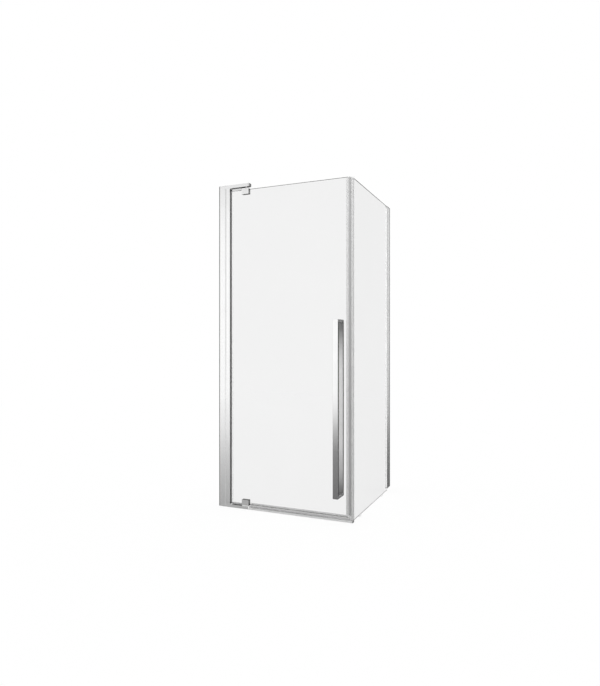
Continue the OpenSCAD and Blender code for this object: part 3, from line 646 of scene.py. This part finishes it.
def smooth(piece):
    # rounded edges are smooth and the flat faces beside them stay flat
    makeActive(piece)
    bpy.ops.object.shade_smooth_by_angle(angle=math.radians(modelling["smoothAngle"]))
    flat = piece.modifiers.new("flat", "WEIGHTED_NORMAL")
    flat.keep_sharp = True
    bpy.ops.object.modifier_apply(modifier="flat")


def roundEdges(piece, width, steps, angle=modelling["edgeAngle"], clamp=True):
    makeActive(piece)
    edges = piece.modifiers.new("edges", "BEVEL")
    edges.use_clamp_overlap = clamp
    edges.width = width
    edges.segments = steps
    edges.limit_method = "ANGLE"
    edges.angle_limit = math.radians(angle)
    bpy.ops.object.modifier_apply(modifier="edges")
    smooth(piece)


def addBlock(name, low, high):
    bpy.ops.object.select_all(action="DESELECT")
    bpy.ops.mesh.primitive_cube_add(size=1, location=(low + high) / 2)
    piece = bpy.context.object
    piece.name = name
    piece.scale = high - low
    settle(piece)
    return piece


def copyOf(node, name):
    # the node's own shape, with its loose triangles merged into whole faces
    piece = bpy.data.objects.new(name, nodes[node].data.copy())
    bpy.context.scene.collection.objects.link(piece)
    piece.data.name = name
    piece.data.materials.clear()
    makeActive(piece)
    bpy.ops.mesh.customdata_custom_splitnormals_clear()
    bpy.ops.object.mode_set(mode="EDIT")
    bpy.ops.mesh.select_all(action="SELECT")
    bpy.ops.mesh.remove_doubles(threshold=modelling["mergeCopy"])
    bpy.ops.mesh.dissolve_limited(angle_limit=math.radians(modelling["flatAngle"]))
    bpy.ops.mesh.normals_make_consistent(inside=False)
    bpy.ops.object.mode_set(mode="OBJECT")
    return piece


# The corner seal stands above its pane in the photo, level with the door's top
raised = {"strike_magnet": 0.0075, "strike_seal": 0.0075}


def raiseTop(piece, rise):
    lowest = max(vertex.co.z for vertex in piece.data.vertices) - modelling["topBand"]
    selectFaces(piece, lambda face: face.normal.z > modelling["facing"]
                and face.center.z > lowest)
    bpy.ops.transform.translate(value=(0, 0, rise))
    bpy.ops.object.mode_set(mode="OBJECT")


def softCopy(node, name, width, steps):
    piece = copyOf(node, name)
    if node in raised:
        raiseTop(piece, raised[node])
    roundEdges(piece, width, steps)
    return piece


def dress(piece, first, second=None, wanted=None):
    # the faces that are wanted get the second finish
    piece.data.materials.clear()
    piece.data.materials.append(finishes[first])
    if second:
        piece.data.materials.append(finishes[second])
        for face in piece.data.polygons:
            face.material_index = 1 if wanted(face) else 0


def hand(piece, node):
    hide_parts(node)
    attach(piece, bodyOf[node])


# Panes: a small flat arris all round. across is the axis through the pane, and the
# finishes are for the faces, the upright edges, the top edge and the bottom edge
paneShapes = {
    "door_glass": {"name": "doorPane", "across": 1, "arris": 0.0014,
                   "finish": ("doorGlass", "uprightEdge", "doorEdge", "doorEdge")},
    "side_glass": {"name": "sidePane", "across": 0, "arris": 0.0015,
                   "finish": ("sideGlass", "uprightEdge", "sideTopEdge", "sideBottomEdge")},
}
# parts of a normal that tell a pane's face, and a level edge, from the rest
paneFacing = {"face": 0.99, "level": 0.2}


def makePane(node, name, across, arris, finish):
    pane = copyOf(node, name)
    # the segments round the handle holes are shorter than the arris, so it isn't clamped
    roundEdges(pane, arris, 1, clamp=False)
    for each in finish:
        pane.data.materials.append(finishes[each])
    # painted shade on the level edges and painted light on the upright edges, by which way each
    # face looks
    for face in pane.data.polygons:
        if abs(face.normal[across]) < paneFacing["face"]:
            face.material_index = 1
            if abs(face.normal.z) > paneFacing["level"]:
                face.material_index = 2 if face.normal.z > 0 else 3
    pane.visible_shadow = False
    pane.visible_diffuse = False
    hand(pane, node)


for node, settings in paneShapes.items():
    makePane(node, **settings)
print("panes made")


# Handle: two rectangular bars, each with a return at both ends that reaches the pane
handleShape = {"barDepth": 0.018, "returnHeight": 0.016, "edge": 0.0005, "steps": 3}


def makeHandle(node, name, towardsPane):
    # towardsPane is the way to the pane along y
    facing = modelling["facing"]
    low, high = (Vector(corner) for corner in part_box(node))
    barLow, barHigh = low.copy(), high.copy()
    if towardsPane > 0:
        barHigh.y = low.y + handleShape["barDepth"]
    else:
        barLow.y = high.y - handleShape["barDepth"]
    reach = (high.y - low.y) - handleShape["barDepth"]
    bar = addBlock(name, barLow, barHigh)
    bpy.ops.object.mode_set(mode="EDIT")
    ends = (low.z + handleShape["returnHeight"], high.z - handleShape["returnHeight"])
    for height in ends:
        bpy.ops.mesh.select_all(action="SELECT")
        bpy.ops.mesh.bisect(plane_co=(0, 0, height), plane_no=(0, 0, 1))
    bpy.ops.object.mode_set(mode="OBJECT")
    selectFaces(bar, lambda face: face.normal.y * towardsPane > facing
                and not ends[0] < face.center.z < ends[1])
    bpy.ops.mesh.extrude_region_move(
        TRANSFORM_OT_translate={"value": (0, reach * towardsPane, 0)})
    bpy.ops.object.mode_set(mode="OBJECT")
    settle(bar)
    roundEdges(bar, handleShape["edge"], handleShape["steps"])
    for finish in ("handleChrome", "handleReturn", "handleShade", "handleLit"):
        bar.data.materials.append(finishes[finish])
    # painted light and shade: by where each face looks, the lower returns' tops glow, the return
    # sides are lighter and the inner bar's faces are shaded
    for face in bar.data.polygons:
        atEnd = not ends[0] < face.center.z < ends[1]
        if atEnd and face.normal.z > facing and face.center.z < ends[1]:
            face.material_index = 3
        elif atEnd and abs(face.normal.x) > facing:
            face.material_index = 1
        elif towardsPane < 0 and face.normal.y < facing and abs(face.normal.x) < facing:
            face.material_index = 2
    hand(bar, node)


makeHandle("handle_outer", "outerHandle", 1)
makeHandle("handle_inner", "innerHandle", -1)
print("handle made")


# Screws: round heads with a hexagon socket
screwShape = {"headRadius": 0.0036, "headHeight": 0.0026, "shankRadius": 0.002, "sides": 32,
              "edge": 0.0005, "steps": 2, "edgeAngle": 50,
              "socketRadius": 0.0017, "socketDepth": 0.0015, "socketSides": 6}


def modelScrew(length):
    # the head's top lies at z = 0 and the shank runs down
    shape = screwShape
    bpy.ops.object.select_all(action="DESELECT")
    bpy.ops.mesh.primitive_cylinder_add(vertices=shape["sides"], radius=shape["headRadius"],
                                        depth=shape["headHeight"],
                                        location=(0, 0, -shape["headHeight"] / 2))
    screw = bpy.context.object
    settle(screw)
    selectFaces(screw, lambda face: face.normal.z < -modelling["facing"])
    bpy.ops.mesh.inset(thickness=shape["headRadius"] - shape["shankRadius"])
    bpy.ops.mesh.extrude_region_move(
        TRANSFORM_OT_translate={"value": (0, 0, shape["headHeight"] - length)})
    bpy.ops.object.mode_set(mode="OBJECT")
    roundEdges(screw, shape["edge"], shape["steps"], shape["edgeAngle"])
    bpy.ops.object.select_all(action="DESELECT")
    bpy.ops.mesh.primitive_cylinder_add(vertices=shape["socketSides"],
                                        radius=shape["socketRadius"],
                                        depth=shape["socketDepth"] * 2, location=(0, 0, 0))
    tool = bpy.context.object
    makeActive(screw)
    socket = screw.modifiers.new("socket", "BOOLEAN")
    socket.operation = "DIFFERENCE"
    socket.object = tool
    socket.solver = "EXACT"
    bpy.ops.object.modifier_apply(modifier="socket")
    bpy.data.objects.remove(tool)
    return screw


def looseBoxes(node):
    # lowest and highest corner of each separate solid in a node
    whole = copyOf(node, "measured")
    makeActive(whole)
    bpy.ops.mesh.separate(type="LOOSE")
    boxes = []
    for part in list(bpy.context.selected_objects):
        corners = [vertex.co.copy() for vertex in part.data.vertices]
        boxes.append(tuple(Vector([pick(c[i] for c in corners) for i in range(3)])
                           for pick in (min, max)))
        bpy.data.objects.remove(part)
    return sorted(boxes, key=lambda box: tuple(box[0]))


def makeScrews(node, name, axis, facing=None):
    # facing gives the head's side for each screw, from the screw's box
    screws = []
    for low, high in looseBoxes(node):
        way = facing(low, high) if facing else 1
        direction = Vector((0, 0, 0))
        direction[axis] = way
        screw = modelScrew(high[axis] - low[axis])
        head = (low + high) / 2
        head[axis] = high[axis] if way > 0 else low[axis]
        screw.rotation_euler = Vector((0, 0, 1)).rotation_difference(direction).to_euler()
        screw.location = head
        settle(screw)
        screws.append(screw)
    bpy.ops.object.select_all(action="DESELECT")
    for screw in screws:
        screw.select_set(True)
    bpy.context.view_layer.objects.active = screws[0]
    bpy.ops.object.join()
    piece = bpy.context.object
    piece.name = name
    piece.data.name = name
    smooth(piece)
    dress(piece, "screwSteel")
    hand(piece, node)


middle = (cadBox[0][2] + cadBox[1][2]) / 2
makeScrews("door_adjust_screws", "doorAdjustScrews", 1)
makeScrews("side_adjust_screws", "sideAdjustScrews", 0, lambda low, high: -1)
makeScrews("clamp_screws", "clampScrews", 1)
makeScrews("arm_screws", "armScrews", 2, lambda low, high: -1 if low.z < middle else 1)
print("screws made")


# Every other piece keeps its node's shape, with rounded edges: piece, finish, width, steps
softened = {
    "door_wall_channel": ("doorWallChannel", "postAluminium", 0.0006, 2),
    "door_channel_caps": ("doorChannelCaps", "postAluminium", 0.0004, 2),
    "pivot_post": ("pivotPost", "postAluminium", 0.0007, 2),
    "top_arm": ("topArm", "armAluminium", 0.0008, 2),
    "bottom_arm": ("bottomArm", "armAluminium", 0.0008, 2),
    "top_arm_cap": ("topArmCap", "silverCap", 0.001, 2),
    "bottom_bearing_cap": ("bearingCap", "whiteNylon", 0.0006, 2),
    "threshold": ("thresholdBar", "thresholdAluminium", 0.0004, 2),
    "threshold_end_cap": ("thresholdEnd", "darkCap", 0.0006, 2),
    "side_wall_channel": ("sideWallChannel", "sideAluminium", 0.0005, 2),
    "side_glazing_profile": ("sideGlazingProfile", "paleAluminium", 0.0005, 2),
    "side_profile_caps": ("sideProfileCaps", "silverCap", 0.0008, 2),
    "side_outer_gasket": ("sideOuterGasket", "paleGasket", 0.0005, 2),
    "side_inner_gasket": ("sideInnerGasket", "paleGasket", 0.0005, 2),
    "side_edge_blocks": ("sideEdgeBlocks", "paleGasket", 0.0005, 2),
    "side_setting_blocks": ("settingBlocks", "clearBlocks", 0.0008, 2),
    "strike_magnet": ("strikeMagnet", "magnetRubber", 0.0006, 2),
    "closing_magnet": ("closingMagnet", "magnetRubber", 0.0006, 2),
    "top_clamp_outer": ("topClampOuter", "clampChrome", 0.0009, 2),
    "top_clamp_inner": ("topClampInner", "clampChrome", 0.0009, 2),
    "bottom_clamp_outer": ("bottomClampOuter", "clampChrome", 0.0009, 2),
    "bottom_clamp_inner": ("bottomClampInner", "clampChrome", 0.0009, 2),
    "clamp_pads": ("clampPads", "clearPads", 0.0002, 1),
    "top_pivot_pin": ("topPivotPin", "clampChrome", 0.0008, 2),
    "bottom_pivot_pin": ("bottomPivotPin", "clampChrome", 0.0008, 2),
    "pivot_grub_screws": ("pivotGrubScrews", "screwSteel", 0.0004, 2),
    "top_pivot_bush": ("topPivotBush", "whiteNylon", 0.0004, 2),
    "bottom_pivot_bush": ("bottomPivotBush", "whiteNylon", 0.0005, 2),
    "handle_studs": ("handleStuds", "screwSteel", 0.0005, 2),
    "handle_sleeves": ("handleSleeves", "clearPads", 0.0003, 1),
    "handle_washers": ("handleWashers", "clearPads", 0.0003, 1),
}

# Some faces of these pieces have a finish of their own: painted shade on the post's recess and the
# clamps' level faces, painted light on the groove and the side channel's front faces. The recess
# and the groove reach this far past the channel and the gasket
reaches = {"recess": 0.005, "groove": 0.015}
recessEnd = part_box("door_wall_channel")[1][0] + reaches["recess"]
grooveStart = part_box("side_outer_gasket")[1][1] + reaches["groove"]


def looksForward(face):
    return face.normal.y < -modelling["facing"]


def looksSideways(face):
    return abs(face.normal.x) > modelling["facing"]


def isLevel(face):
    return abs(face.normal.z) > modelling["facing"]


secondFinish = {
    "pivot_post": ("recessAluminium",
                   lambda face: looksForward(face) and face.center.x < recessEnd),
    "side_glazing_profile": ("grooveAluminium",
                             lambda face: looksSideways(face) and face.center.y > grooveStart),
    "side_wall_channel": ("grooveAluminium", looksForward),
    "top_clamp_outer": ("darkUnderside", isLevel),
    "top_clamp_inner": ("darkUnderside", isLevel),
    "bottom_clamp_outer": ("darkUnderside", isLevel),
    "bottom_clamp_inner": ("darkUnderside", isLevel),
}
for node, (name, finish, width, steps) in softened.items():
    piece = softCopy(node, name, width, steps)
    dress(piece, finish, *secondFinish.get(node, ()))
    hand(piece, node)
print("profiles, arms, clamps and caps made")


# Seals: thin clear legs over a pane and a hazier hollow beyond its edge
doorLow, doorHigh = (Vector(corner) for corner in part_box("door_glass"))
sideLow = Vector(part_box("side_glass")[0])
sealEdge = {"width": 0.0003, "steps": 2}
# how far the corner seal's hollow reaches behind the pane's front edge and beside the pane
strikeBody = {"behind": 0.0001, "beside": 0.002}
sealPieces = {
    "closing_seal": ("closingSeal", "sealLeg", "sealBody", lambda c: c.x > doorHigh.x),
    "hinge_edge_seal": ("hingeEdgeSeal", "sealFaint", "sealFaint", lambda c: c.x < doorLow.x),
    "door_bottom_seal": ("doorBottomSeal", "sealLeg", "sealBody", lambda c: c.z < doorLow.z),
    "hinge_bottom_seal": ("hingeBottomSeal", "sealFaint", "sealBody", lambda c: c.z < doorLow.z),
    "hinge_top_seal": ("hingeTopSeal", "sealFaint", "sealBody", lambda c: c.z > doorHigh.z),
    "strike_seal": ("strikeSeal", "sealFaint", "sealBody",
                    lambda c: c.y < sideLow.y + strikeBody["behind"]
                    or c.x < sideLow.x - strikeBody["beside"]),
}
for node, (name, leg, body, beyond) in sealPieces.items():
    seal = softCopy(node, name, **sealEdge)
    dress(seal, leg, body, lambda face: beyond(face.center))
    hand(seal, node)
print("seals made")
